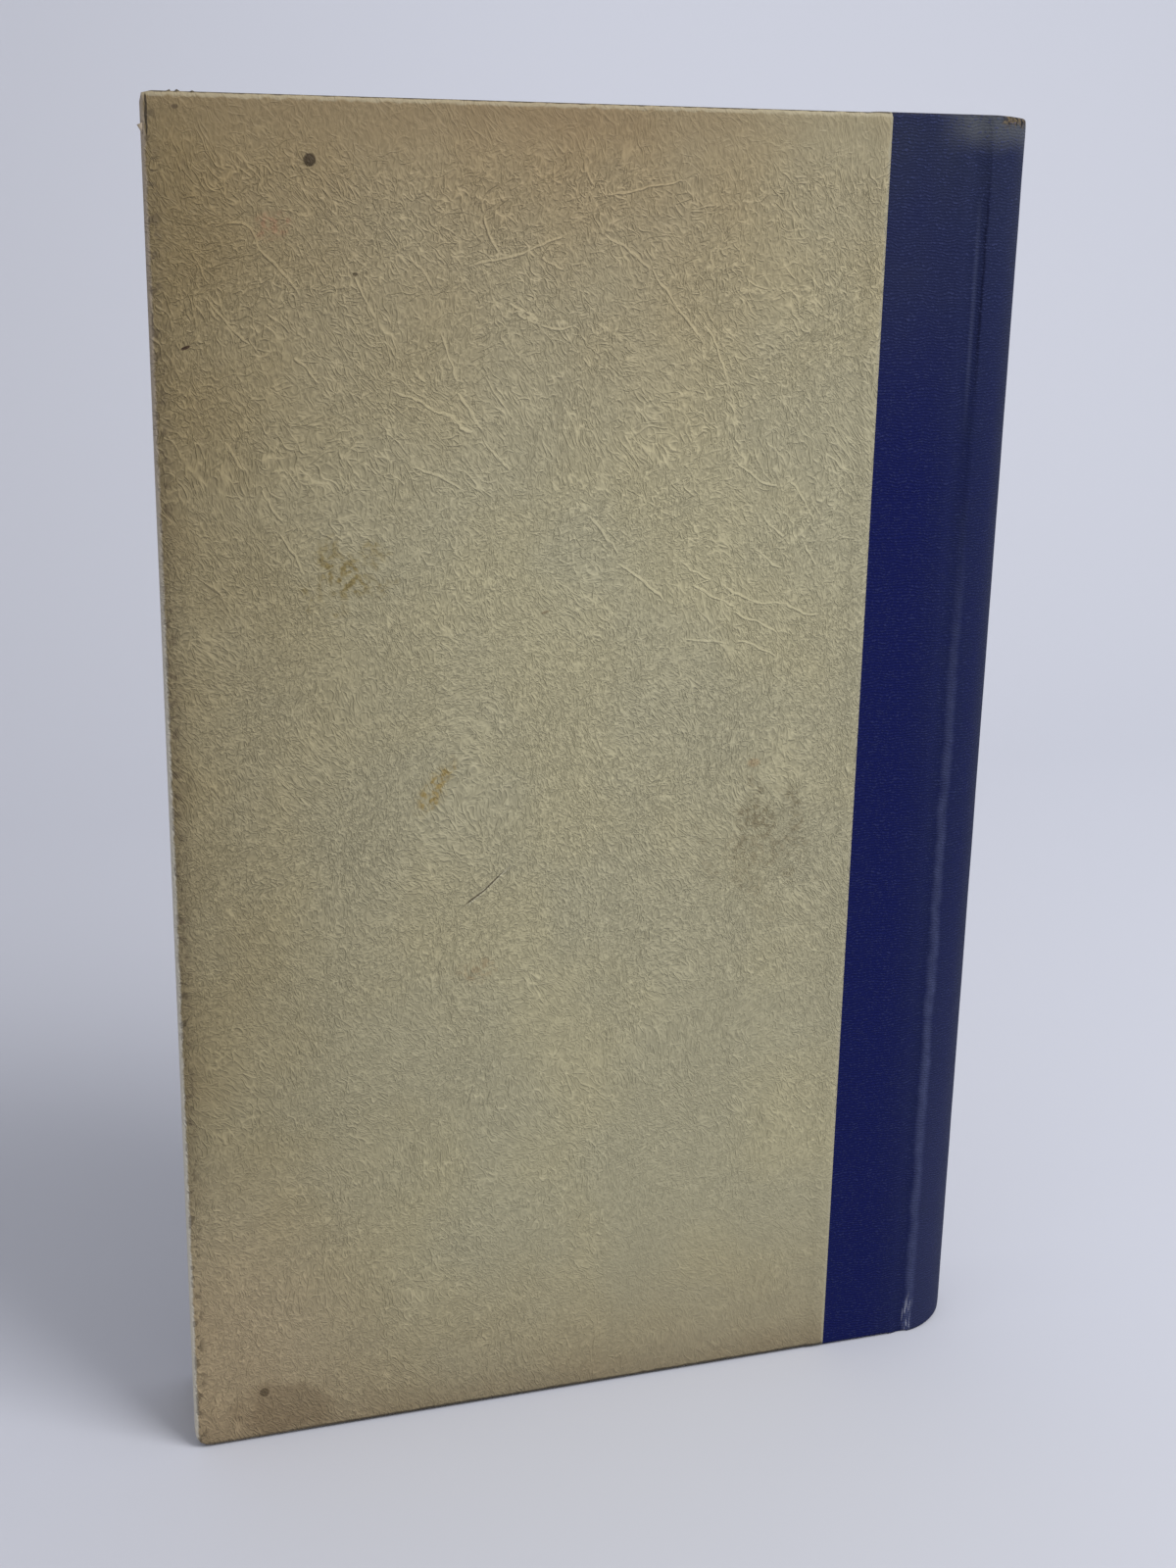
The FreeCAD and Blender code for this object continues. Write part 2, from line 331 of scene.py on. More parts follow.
band_finish, shader, place = new_finish("headband_thread", 0.6)
centred = place.node("ShaderNodeVectorMath", {"operation": "SUBTRACT"},
                     {0: place, 1: (spine_x, spine_y, 0.0)})
turn = centred.part(1).math("ARCTAN2", centred.part(0))
stripe = (turn / thread_stripe + centred.part(2) * thread_slant).math("FRACT").step(0.45, 0.55)
worn = place.grain(0.5 * mm, 2.0)
thread = stripe.mix(paint(206, 196, 166), paint(44, 54, 104))
feed(shader, "Base Color", thread.tinted(0.7 + 0.5 * worn))
feed_relief(shader, worn, 0.05 * mm)

for node, outwards in (("head_band", 1.0), ("tail_band", -1.0)):
    edge = text_high.z if outwards > 0 else text_low.z
    middle = edge + outwards * bead_radius / 2
    band_shape = bmesh.new()
    ring = bmesh.ops.create_circle(band_shape, cap_ends=True, segments=bead_sides,
                                   radius=bead_radius)["verts"]
    start = spine_starts + band_inset / text_radius
    finish_at = spine_ends - band_inset / text_radius
    upright = Matrix.Rotation(math.pi / 2, 4, "X")
    carried = Matrix.Translation((mull_radius - bead_radius, 0, 0)) @ upright
    at_centre = Matrix.Translation((spine_x, spine_y, middle)) @ Matrix.Rotation(start, 4, "Z")
    bmesh.ops.transform(band_shape, matrix=at_centre @ carried, verts=ring)
    bmesh.ops.spin(band_shape, geom=band_shape.verts[:] + band_shape.edges[:] + band_shape.faces[:],
                   cent=(spine_x, spine_y, middle), axis=(0, 0, 1), angle=finish_at - start,
                   steps=bead_turns, use_merge=False, use_duplicate=False)
    for corner in band_shape.verts:
        angle = math.atan2(corner.co.y - spine_y, corner.co.x - spine_x)
        turn_number = round((angle - start) / (finish_at - start) * bead_turns)
        core = on_spine(mull_radius - bead_radius, angle)
        core.z = middle
        if turn_number % 2:
            corner.co = core.lerp(corner.co, bead_ridge)
    tape = bmesh.ops.create_grid(band_shape, x_segments=24, y_segments=1, size=0.5)["verts"]
    for corner in tape:
        angle = start + (corner.co.x + 0.5) * (finish_at - start)
        below = (corner.co.y + 0.5) * tape_length
        corner.co = on_spine(mull_radius, angle)
        corner.co.z = edge - outwards * below
    faces = [face for face in band_shape.faces if face.verts[0] in set(tape)]
    bmesh.ops.solidify(band_shape, geom=faces, thickness=tape_thickness)
    bmesh.ops.recalc_face_normals(band_shape, faces=band_shape.faces[:])
    band = mesh_object(node.replace("_band", "_headband"), band_shape, band_finish)
    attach(band, "text_and_spine")
    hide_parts(node)


# The two boards: grey strawboard, 2.4 mm thick, cut a little larger than the pages so that they
# stand out past them by the squares. Paper and cloth cover them all round.
board_finish, shader, place = new_finish("greyboard", 0.95)
pulp = place.grain(0.8 * mm, 4.0, 0.4)
feed(shader, "Base Color", pulp.mix(paint(112, 104, 90), paint(158, 148, 130)))
feed_relief(shader, pulp, 0.1 * mm)
for node in ("back_board", "front_board"):
    dress(node, board_finish)


# The spine card: thin manila board inside the cloth, curved over the backs of the pages. It keeps
# the spine round, is glued to the cloth alone and ends a little short of the cloth's folds.
card_low, card_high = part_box("spine_card")
card_thickness = 0.6 * mm
card_outer_radius = card_high.x - spine_x
card_short = 1.0 * mm
card_finish, shader, place = new_finish("spine_card", 0.9)
fibres = place.grain(1.2 * mm, 3.0)
feed(shader, "Base Color", fibres.mix(paint(150, 124, 84), paint(188, 164, 120)))
feed_relief(shader, fibres, 0.04 * mm)
shape = bmesh.new()
bmesh.ops.create_grid(shape, x_segments=28, y_segments=8, size=0.5)
for corner in shape.verts:
    share = corner.co.x + 0.5
    height = (corner.co.y + 0.5) * (card_high.z - card_low.z - 2 * card_short)
    corner.co = on_spine(card_outer_radius, spine_starts + share * (spine_ends - spine_starts))
    corner.co.z = card_low.z + card_short + height
card = mesh_object("spine_card_strip", shape, card_finish)
thicken(card, card_thickness, -1.0)
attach(card, "text_and_spine")
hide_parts("spine_card")


# The book cloth: one strip of deep blue cotton with a fine ribbed grain pressed into it, glued
# round the spine and on to both boards, and turned in at head and tail. It is made here as two
# halves that meet on the spine's centre line.
cloth = 0.3 * mm
board_arris = 0.5 * mm
groove_depth = 0.5 * mm
cloth_below_cover = 0.2 * mm
turn_in = 15.0 * mm
cloth_row = 0.8 * mm
board_columns = 20
joint_columns = 14
spine_columns = 26
fold_steps = 5
turn_in_steps = 5
cap_rounding = 0.25 * mm
head_cap_rounding = 0.3 * mm
half_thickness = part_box("back_side_paper")[0].y * -1.0
board_thickness = back_board_high.y - back_board_low.y
board_foot = back_board_low.z
board_head = back_board_high.z
cloth_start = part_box("back_cover_cloth")[0].x
spine_middle = (spine_starts + spine_ends) / 2


def keep_rest_place(piece):
    """Stores where each point lies at rest, so that patterns stay on a sheet as it bends."""
    kept = piece.data.attributes.new("rest_place", "FLOAT_VECTOR", "POINT")
    for place_kept, corner in zip(kept.data, piece.data.vertices):
        place_kept.vector = corner.co


class Cover:
    """Which cover a piece is on: its name, the way it faces and how far the spine's roll moved it."""

    def __init__(self, name, facing):
        self.name = name
        self.facing = facing
        self.shift = roll if facing > 0 else 0.0
        self.body = name + "_cover"

    def at(self, x, depth, z):
        """A point from its place on the back cover and its depth under the cover's face."""
        return Vector((x + self.shift, self.facing * (half_thickness - depth), z))


covers = (Cover("back", -1.0), Cover("front", 1.0))


def fold_round(step, core, arris, grow):
    """A row of a sheet that folds round an edge: how far out of the core's edge, how deep under
    the core's face, and how it goes on inwards once it is round."""
    radius = arris + grow
    if step <= fold_steps:
        angle = math.pi / 2 * step / fold_steps
        return -arris + radius * math.sin(angle), arris - radius * math.cos(angle)
    step -= fold_steps + 1
    if step <= fold_steps:
        angle = math.pi / 2 * step / fold_steps
        return (-arris + radius * math.cos(angle),
                core - arris + radius * math.sin(angle))
    step -= fold_steps
    return -arris - (turn_in - arris) * step / turn_in_steps, core + grow


fold_rows = 2 * fold_steps + 1 + turn_in_steps


def cloth_line(cover):
    """The cloth's way from the cover to the spine's middle: for each column the core's face under
    it, the way inwards, the core's thickness and its arris."""
    columns = []
    for step in range(board_columns + 1):
        x = cloth_start + (back_board_high.x - cloth_start) * step / board_columns
        face = cover.at(x, cloth_below_cover + cloth, 0)
        columns.append((face, Vector((0, -cover.facing, 0)), board_thickness, board_arris))
    ridge_angle = spine_ends if cover.facing > 0 else spine_starts
    ridge = on_spine(spine_radius - cloth, ridge_angle)
    towards_centre = (on_spine(0.0, 0.0) - ridge).normalized()
    begin = columns[-1][0]
    for step in range(1, joint_columns):
        share = step / joint_columns
        face = begin.lerp(ridge, share)
        face.y -= cover.facing * groove_depth * 4 * share * (1 - share)
        inwards = columns[0][1].lerp(towards_centre, share).normalized()
        columns.append((face, inwards, card_thickness * share ** 3, board_arris * share ** 3 * 0.6))
    for step in range(spine_columns + 1):
        angle = ridge_angle + (spine_middle - ridge_angle) * step / spine_columns
        face = on_spine(spine_radius - cloth, angle)
        inwards = (on_spine(0.0, 0.0) - face).normalized()
        columns.append((face, inwards, card_thickness, card_thickness / 2))
    return columns


def cloth_finish(cover):
    """The cloth's blue dye over its ribbed grain: faded at the head, greyer towards and round the spine,
    rubbed along the joint, and a painted shadow in the joint's groove near the head.
    """
    finish, shader, place = new_finish("book_cloth_" + cover.name, 0.7, 0.05, bends=True)
    x, y, z = place.part(0) - cover.shift, place.part(1), place.part(2)
    wear_and_shade = 1.0 if cover.facing < 0 else 0.7
    wander = place.grain(3.2 * mm, 1.0)
    broken = place.grain(0.6 * mm, 1.0)
    ribs = ((z / (0.5 * mm) + wander * 2.8 + broken * 1.1) * (2 * math.pi)).math("SINE")
    ribs = ribs * 0.5 + 0.5
    beads = (place.grain(0.42 * mm, 0.0).step(0.5, 0.72)) * ribs
    flecks = place.grain(0.3 * mm, 2.0).step(0.55, 0.8)
    large = place.grain(14 * mm, 2.0)
    small = place.grain(2.5 * mm, 2.0)
    ridge_x = spine_high.x - spine_radius + spine_radius * math.cos(spine_starts)
    deep = paint(19, 25, 76)
    by_head = z.step(158 * mm, 221 * mm) * (0.45 + 0.9 * large)
    by_spine = (x + large * (3 * mm)).step(ridge_x - 10 * mm, ridge_x + 2 * mm)
    round_spine = x.step(ridge_x + 3.5 * mm, ridge_x + 9 * mm)
    colour = by_head.mix(deep, paint(42, 47, 70))
    colour = (by_spine * (0.35 + 0.5 * small)).mix(colour, paint(33, 39, 68))
    colour = (round_spine * (0.55 + 0.5 * large)).mix(colour, paint(40, 45, 66))
    head_patch = (z + large * (4 * mm)).step(217.5 * mm, 222 * mm) * x.step(ridge_x - 11 * mm,
                                                                      ridge_x - 3 * mm)
    colour = (head_patch * wear_and_shade).mix(colour, paint(76, 79, 86))
    rub_wander = place.grain(6 * mm, 2.0)
    rub = abs(x - ridge_x + 0.3 * mm + (rub_wander - 0.5) * (1.3 * mm)) / (1.25 * mm)
    rub = rub.step(1.0, 0.0) * z.step(168 * mm, 120 * mm) * (0.35 + small)
    rub = rub * (0.65 + 0.35 * z.step(130 * mm, 50 * mm))
    colour = (x.step(ridge_x - 1 * mm, ridge_x + 1 * mm) * z.step(110 * mm, 10 * mm) * 0.35).mix(
        colour, paint(58, 62, 88))
    colour = (rub * (0.9 * wear_and_shade)).mix(colour, paint(70, 76, 110))
    # Painted shadow: a dark line in the joint's pressed groove near the head.
    crease = abs(x - ridge_x + (rub_wander - 0.5) * (0.8 * mm)) / (0.45 * mm)
    crease = crease.step(1.0, 0.0) * z.step(172 * mm, 190 * mm) * z.step(219 * mm, 205 * mm)
    colour = (crease * (0.75 * wear_and_shade)).mix(colour, paint(14, 17, 42))
    beside = abs(x - ridge_x + 1.3 * mm) / (0.6 * mm)
    beside = beside.step(1.0, 0.0) * z.step(168 * mm, 185 * mm) * z.step(212 * mm, 200 * mm)
    colour = (beside * (0.4 * wear_and_shade)).mix(colour, paint(70, 76, 104))
    frays = place.grain(0.9 * mm, 3.0)
    scratched = place.turned(0.0, (0.25 * mm, 1 * mm, 2.4 * mm)).grain(1.0, 1.0).step(0.5, 0.62)
    scratch_line = abs(x - ridge_x + 0.4 * mm + (rub_wander - 0.5) * (2.4 * mm)) / (1.1 * mm)
    scratches = scratch_line.step(1.0, 0.3) * z.step(10 * mm, 3 * mm) * scratched
    colour = (scratches * wear_and_shade).mix(colour, paint(142, 144, 160))
    at_cap = (z + frays * (1.4 * mm)).step(222.0 * mm, 222.5 * mm)
    at_cap = at_cap.larger((frays * (1.4 * mm) - z).step(0.6 * mm, 1.0 * mm))
    colour = (at_cap * 0.7).mix(colour, paint(52, 50, 54))
    corner = (x - ridge_x + frays * (2.4 * mm)).step(2.6 * mm, 4.0 * mm)
    corner = corner * (z + frays * (2.4 * mm)).step(221.0 * mm, 222.2 * mm)
    torn = place.grain(0.7 * mm, 2.0).step(0.4, 0.56)
    colour = corner.mix(colour, torn.mix(paint(38, 37, 40), paint(104, 91, 70)))
    colour = (beads * (0.3 + 0.25 * by_head)).mix(colour, paint(60, 67, 106))
    colour = (flecks * 0.12).mix(colour, paint(84, 90, 120))
    feed(shader, "Base Color", colour.tinted(0.84 + 0.2 * ribs))
    feed(shader, "Roughness", 0.6 + 0.25 * small)
    feed_relief(shader, ribs * (0.3 + 0.6 * broken) + beads * 0.7, 0.08 * mm)
    return finish


for cover in covers:
    columns = cloth_line(cover)
    ridge_column = board_columns + joint_columns
    outer_rows = round((board_head - board_foot) / cloth_row)
    row_count = outer_rows + 2 * fold_rows
    shape = bmesh.new()
    bmesh.ops.create_grid(shape, x_segments=len(columns) - 1, y_segments=row_count, size=0.5)
    for corner in shape.verts:
        column = round((corner.co.x + 0.5) * (len(columns) - 1))
        row = round((corner.co.y + 0.5) * row_count)
        face, inwards, core, arris = columns[column]
        past_tail = fold_rows - row
        past_head = row - fold_rows - outer_rows
        step = max(0, past_tail, past_head)
        out, depth = fold_round(step, core, arris, cloth)
        along = min(max((row - fold_rows) / outer_rows, 0), 1)
        end = board_head if along > 0.5 else board_foot
        sign = 1.0 if along > 0.5 else -1.0
        z = (board_foot + arris) + along * (board_head - board_foot - 2 * arris)
        if step:
            z = end + sign * out
        from_end = min(z - spine_low.z, spine_high.z - z) / (2.5 * mm)
        round_spine = max(0.0, column - ridge_column - 2) / (spine_columns - 1)
        rounding = cap_rounding if along < 0.5 else head_cap_rounding
        droop = rounding * min(round_spine * 2.2, 1.0) * max(0.0, 1 - max(from_end, 0)) ** 2
        relief = noise.noise(Vector((face.x, face.y, z)) / (9 * mm)) * 0.03 * mm
        spot = face + inwards * (depth + droop * 0.5 + relief)
        spot.z = z - sign * droop * 0.7
        corner.co = spot
    if cover.facing > 0:
        bmesh.ops.reverse_faces(shape, faces=shape.faces[:])
    half = mesh_object("book_cloth_" + cover.name, shape, cloth_finish(cover))
    keep_rest_place(half)
    thicken(half, cloth, -1.0)
    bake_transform(half)
    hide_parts("spine_cloth", cover.name + "_cover_cloth")


# The side papers: cream-beige paper embossed with a wrinkled grain, pasted over three edges of
# each board and turned in. Along the spine it laps 2 mm over the cloth with a cut, pale edge.
paper = 0.2 * mm
paper_cell = 0.85 * mm
lap_start = cloth_start - paper
lap_slope = 1.1 * mm
corner_head = 0.8 * mm
corner_tail = 2.2 * mm
flow_size = 17 * mm
flow_amount = 4 * mm
flow_seed = 7
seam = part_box("back_side_paper")[1].x
fore = back_board_low.x


def swell(x):
    """How far the paper rises over the edge of the cloth that it laps over."""
    share = min(max((x - lap_start + lap_slope) / lap_slope, 0.0), 1.0)
    return cloth * share * share * (3 - 2 * share)


def paper_relief(x, z, facing):
    """The slight unevenness of the pasted paper, away from its edges."""
    edge = min(x - fore, seam - x - 2.5 * mm, z - board_foot, board_head - z) / (3 * mm)
    share = min(max(edge, 0.0), 1.0)
    spot = Vector((x, facing, z))
    wide = noise.noise(spot / (11 * mm)) * 0.035 * mm
    fine = abs(noise.noise(spot / (2.3 * mm))) * 0.05 * mm
    return (wide + fine) * share


# The longest creases of the back cover's grain, each through three points, in mm from the
# board's fore edge and the tail.
creases = (((48, 197.9), (53, 198.9), (62.7, 202.4)), ((69.6, 208.5), (75.7, 209.4), (82, 210.8)),
           ((69.7, 202.4), (72.4, 200.9), (77.1, 197.4)), ((77.1, 197.4), (81.5, 191.9), (86.4, 186)),
           ((54.7, 191.6), (59.2, 188.8), (64.4, 188.8)), ((59.1, 199.5), (60.9, 198.1), (62.8, 197.2)),
           ((50.3, 205.3), (51.3, 201.3), (53, 199.5)), ((11.2, 203.8), (14.8, 202.8), (15.7, 200)),
           ((15.7, 200), (19.3, 196.8), (21.6, 193.6)), ((38.3, 199.2), (40.4, 197), (42.1, 194.6)),
           ((42.5, 176.3), (45.3, 174.8), (48.5, 172.5)), ((86, 189.2), (89.2, 183.8), (90.6, 179.2)),
           ((8, 192.9), (10.5, 190.1), (13.9, 186.3)), ((30.2, 195.9), (31.4, 193.4), (33.1, 189.8)),
           ((43.4, 187.8), (44.5, 184.6), (45.7, 180.2)), ((46, 179), (47.6, 176.4), (50, 172.9)),
           ((36, 179.1), (42.6, 176), (48.4, 172.2)), ((38.7, 167.5), (42.6, 166.2), (46.8, 163.8)),
           ((10.2, 172.2), (11.9, 168.9), (13, 167.7)), ((15.4, 164.7), (16.9, 161.7), (18.2, 159.8)),
           ((20.8, 184.3), (22.6, 182.6), (24.4, 180.4)), ((54.2, 192.2), (57.4, 190.4), (60.1, 188.7)),
           ((50.4, 171.1), (53.1, 168), (54.4, 166.7)), ((18, 157.9), (19.7, 155.3), (21.6, 151.4)),
           ((92.4, 167.4), (95.5, 164.9), (99.9, 162.9)),
           ((97.5, 158.1), (99.3, 156.4), (101.7, 154.7)), ((96.5, 152.8), (98.7, 151), (101.4, 149.3)),
           ((83.7, 150.8), (87.2, 148.7), (88.9, 147.8)), ((85.5, 147.2), (89.9, 144.8), (93.8, 143)),
           ((90.7, 147.3), (96.4, 144.2), (101.7, 143.3)),
           ((72.7, 151.2), (76.9, 148.3), (80.8, 144.9)),
           ((102.2, 143.5), (105, 141.8), (108.6, 141.3)), ((84.9, 138.1), (88.8, 137.6), (91.9, 137)),
           ((94, 137.3), (97.6, 136.2), (100.9, 134.5)),
           ((105.3, 153.3), (106.6, 151.2), (107.6, 149.5)),
           ((67.7, 159), (69.5, 156.9), (72.6, 152.8)),
           ((102.1, 163.9), (105.3, 159.8), (106.9, 156.5)), ((93, 142.2), (97.4, 140.4), (101, 138.7)))
crease_half_width = 0.34 * mm
crease_reach = 1.8 * mm


def crease_arc(points):
    """The circle through a crease's three points: its centre and radius, then the middle of the
    crease and half its length."""
    (ax, az), (bx, bz), (cx, cz) = points
    spread = 2 * (ax * (bz - cz) + bx * (cz - az) + cx * (az - bz))
    a, b, c = ax * ax + az * az, bx * bx + bz * bz, cx * cx + cz * cz
    x = (a * (bz - cz) + b * (cz - az) + c * (az - bz)) / spread
    z = (a * (cx - bx) + b * (ax - cx) + c * (bx - ax)) / spread
    centre = Vector((fore + x * mm, z * mm, 0))
    first, last = (Vector((fore + px * mm, pz * mm, 0)) for px, pz in (points[0], points[2]))
    return centre, (first - centre).length, (first + last) / 2, (last - first).length / 2


crease_arcs = [crease_arc(points) for points in creases]
creases_begin = min(z for points in creases for x, z in points) * mm - 3 * mm


def crease_near(x, z):
    """How far a point lies from the strongest long crease near it, and how strong that is."""
    gap, strength = crease_reach, 0.0
    spot = Vector((x, z, 0))
    for centre, radius, middle, half_length in crease_arcs:
        off = (spot - centre).length - radius
        if abs(off) < crease_reach:
            ends = (1.15 - (spot - middle).length / half_length) / 0.35
            here = min(max(ends, 0.0), 1.0) * (1 - (off / crease_reach) ** 2)
            if here > strength:
                gap, strength = off, here
    return Vector((gap, strength, 0))


# The loose flakes at the head of the back cover, each with its three corners in mm from the
# board's fore edge and the tail.
flakes = (((-0.1, 215.7), (-0.1, 217.3), (-0.85, 217.0)), ((3.0, 221.5), (4.2, 221.5), (3.9, 221.9)),
          ((4.4, 221.5), (5.7, 221.5), (4.9, 221.95)), ((6.4, 221.5), (7.7, 221.5), (7.1, 221.85)))
flake_depth = 0.75 * mm


def side_paper_sheet(cover):
    """The paper's outer face as a grid, then three of its sides drawn out round the board."""
    noise.seed_set(flow_seed)
    shape = bmesh.new()
    base_x, base_low, base_high = fore + board_arris, board_foot + board_arris, board_head - board_arris
    columns = round((seam - base_x) / paper_cell)
    rows = round((base_high - base_low) / paper_cell)
    keep_x = shape.verts.layers.float.new("x")
    keep_z = shape.verts.layers.float.new("z")
    ring = shape.verts.layers.int.new("ring")
    crease = shape.verts.layers.float_vector.new("crease")
    flow = shape.verts.layers.float_vector.new("flow")
    bmesh.ops.create_grid(shape, x_segments=columns, y_segments=rows, size=0.5)
    for corner in shape.verts:
        x = base_x + (corner.co.x + 0.5) * (seam - base_x)
        z = base_low + (corner.co.y + 0.5) * (base_high - base_low)
        for radius, sign, end in ((corner_tail - board_arris, -1.0, base_low),
                                  (corner_head - board_arris, 1.0, base_high)):
            side = (base_x + radius - x) / radius
            up = (sign * (z - end) + radius) / radius
            if side > 0 and up > 0:
                x = base_x + radius - radius * side * math.sqrt(1 - up * up / 2)
                z = end - sign * radius + sign * radius * up * math.sqrt(1 - side * side / 2)
        corner[keep_x], corner[keep_z] = x, z
    border = [edge for edge in shape.edges if edge.is_boundary
              and not all(v[keep_x] > seam - 0.01 * mm for v in edge.verts)]
    for step in range(1, fold_rows + 1):
        drawn_out = bmesh.ops.extrude_edge_only(shape, edges=border)["geom"]
        border = [part for part in drawn_out if isinstance(part, bmesh.types.BMEdge)]
        for corner in (part for part in drawn_out if isinstance(part, bmesh.types.BMVert)):
            corner[ring] = step
    for corner in shape.verts:
        x, z, step = corner[keep_x], corner[keep_z], corner[ring]
        grow = paper + swell(x) * (0.4 if step else 1.0)
        out, depth = fold_round(step, board_thickness, board_arris, grow)
        relief = paper_relief(x, z, cover.facing) if step == 0 else 0.0
        corner[flow] = noise.noise_vector(Vector((x, cover.facing, z)) / flow_size) * flow_amount
        corner[crease] = Vector((crease_reach, 0, 0))
        if cover.facing < 0 and step == 0 and z > creases_begin:
            corner[crease] = crease_near(x, z)
        if step > 2 * fold_steps + 1:
            inset = -out
            x = max(x, fore + inset)
            z = min(max(z, board_foot + inset), board_head - inset)
        elif step:
            radius = corner_tail if z < (board_foot + board_head) / 2 else corner_head
            core = Vector((max(x, fore + radius), 0,
                           min(max(z, board_foot + radius), board_head - radius)))
            away = Vector((x, 0, z)) - core
            if x > fore + radius and min(z - base_low, base_high - z) > 1e-7:
                away = Vector((0, 0, 0))
            if away.length > 1e-9:
                away.normalize()
            x += away.x * (out + board_arris)
            z += away.z * (out + board_arris)
        corner.co = cover.at(x, cloth + cloth_below_cover + depth - relief, z)
    bmesh.ops.remove_doubles(shape, verts=shape.verts[:], dist=0.004 * mm)
    if cover.facing > 0:
        bmesh.ops.reverse_faces(shape, faces=shape.faces[:])
        return shape
    for outline in flakes:
        flake = bmesh.ops.create_circle(shape, cap_ends=True, segments=3, radius=1.0)["verts"]
        for corner, (from_fore, height) in zip(flake, outline):
            corner.co = cover.at(fore + from_fore * mm, flake_depth, height * mm)
    return shape


def side_paper_finish(cover):
    """The paper's colour, toning and stains over its embossed wrinkles."""
    finish, shader, place = new_finish("side_paper_" + cover.name, 0.6, 0.25)
    u = (place.part(0) - cover.shift - fore) / mm
    v = place.part(2) / mm
    high = v.step(112.0, 176.0)
    strong = 0.62 + 0.38 * v.step(62.0, 100.0)
    place = place.laid_flat()
    drift = place.node("ShaderNodeAttribute", {"attribute_name": "flow"}, {}, 1)
    flow = place.node("ShaderNodeVectorMath", {}, {0: place, 1: drift}).wandered(1.9 * mm, 0.8 * mm)

    def wrinkles(angle, cell, width, few):
        """Short creases: the lines on which noise passes its middle value, broken up by more."""
        lines = flow.turned(math.radians(angle), cell).grain(1.0, 0.0).crest(width)
        return lines * flow.grain(2.4 * cell[0], 0.0).step(few, few + 0.1)

    sparse = place.grain(11 * mm, 0.0).step(0.34, 0.6)
    lumps = flow.turned(math.radians(-34), (1.0 * mm, 2 * mm, 2.1 * mm)).grain(1.0, 1.0)
    slopes = wrinkles(-34, (1.35 * mm, 2 * mm, 4.4 * mm), 0.1, 0.42)
    uprights = wrinkles(-6, (0.95 * mm, 2 * mm, 2.7 * mm), 0.12, 0.46)
    levels = wrinkles(74, (1.05 * mm, 2 * mm, 2.9 * mm), 0.11, 0.5)
    fibres = flow.turned(math.radians(-12), (0.46 * mm, 1 * mm, 0.8 * mm)).grain(1.0, 1.0)
    net = flow.turned(math.radians(-20), (0.95 * mm, 1 * mm, 1.3 * mm)).grain(1.0, 1.0).crest(0.1)
    creased = slopes * (0.55 + 0.45 * high) * (0.5 + 0.5 * sparse)
    creased = creased.larger(uprights * (0.55 + 0.35 * sparse)).larger(levels * (0.55 + 0.3 * high))
    kept = place.node("ShaderNodeAttribute", {"attribute_name": "crease"}, {}, 1)
    winding = (place.grain(2.6 * mm, 1.0) - 0.5) * (0.9 * mm)
    named = 1.0 - abs(kept.part(0) + winding) / crease_half_width
    named = (named * kept.part(1) * 1.7).math("MINIMUM", 1.05)
    creased = creased.larger(named)
    # The grain is rubbed nearly smooth along the head, and partly by the tail towards the spine.
    calm = 1.0 - 0.45 * v.step(60.0, 15.0) * u.step(40.0, 90.0)
    calm = calm * (1.0 - 0.62 * v.step(210.0, 218.0))
    creased = creased.larger(net * (0.68 * strong) * (1.0 - 0.4 * high)) * calm
    relief = creased + fibres * (0.8 * strong) * calm + lumps * (0.4 + 0.2 * high)

    # The toning: browner towards the head, the tail and the fore edge, and darker towards the tail and the
    # fore edge, which is partly painted shade.
    cloudy = place.grain(26 * mm, 2.0)
    mottle = place.grain(4.5 * mm, 2.0)
    speckle = place.grain(1.2 * mm, 1.0).step(0.42, 0.64)
    middle = paint(156, 150, 123)
    colour = (cloudy.step(0.35, 0.7) * 0.6).mix(middle, paint(163, 155, 123))
    from_head = (((v - 150.0) / 72.0).larger(0.0)) ** 1.4
    from_head = from_head * (1.0 - 0.5 * u.step(72.0, 112.0))
    colour = (from_head * (0.6 + 0.7 * cloudy)).mix(colour, paint(138, 119, 88))
    # Painted shade in part: darker as well as browner towards the tail.
    from_tail = (((46.0 - v) / 46.0).larger(0.0)) ** 2.0
    colour = (from_tail * (0.45 + 0.5 * cloudy)).mix(colour, paint(134, 119, 93))
    # Painted shade in part: darker as well as browner towards the fore edge.
    from_fore = (((66.0 - u) / 66.0).larger(0.0)) ** 1.8
    from_fore = from_fore * (0.5 + 0.6 * cloudy) * (0.8 + 0.25 * high) * (0.7 + 0.3 * v.step(5.0, 70.0))
    colour = from_fore.mix(colour, paint(118, 102, 70))
    at_fore = (((5.0 - u) / 5.0).larger(0.0)) ** 1.6
    at_fore = at_fore * (0.4 + 0.7 * mottle) * (0.15 + 0.85 * v.step(15.0, 75.0))
    at_fore = at_fore * (1.0 - 0.5 * v.step(165.0, 215.0))
    colour = at_fore.mix(colour, paint(104, 92, 68))
    at_head = (v + mottle * 5.0).step(217.0, 225.5)
    colour = (at_head * (0.4 - 0.25 * u.step(60.0, 110.0))).mix(colour, paint(124, 107, 80))
    warm = u.step(42.0, 4.0) * v.step(62.0, 18.0)
    colour = (warm * 0.45).mix(colour, paint(158, 136, 108))
    at_tail = (v - mottle * 6.0).step(6.0, -4.0)
    colour = (at_tail * 0.4).mix(colour, paint(112, 98, 76))
    # The grain's own lighter and darker flecks, with a painted highlight: the crests of the creases are
    # painted lighter.
    grain_and_crest_highlight = (fibres - 0.5) * strong * 0.36 + (lumps - 0.5) * 0.06 + creased * 0.37
    colour = colour.tinted(grain_and_crest_highlight + 0.1 * mottle + 0.895 + 0.03 * high)

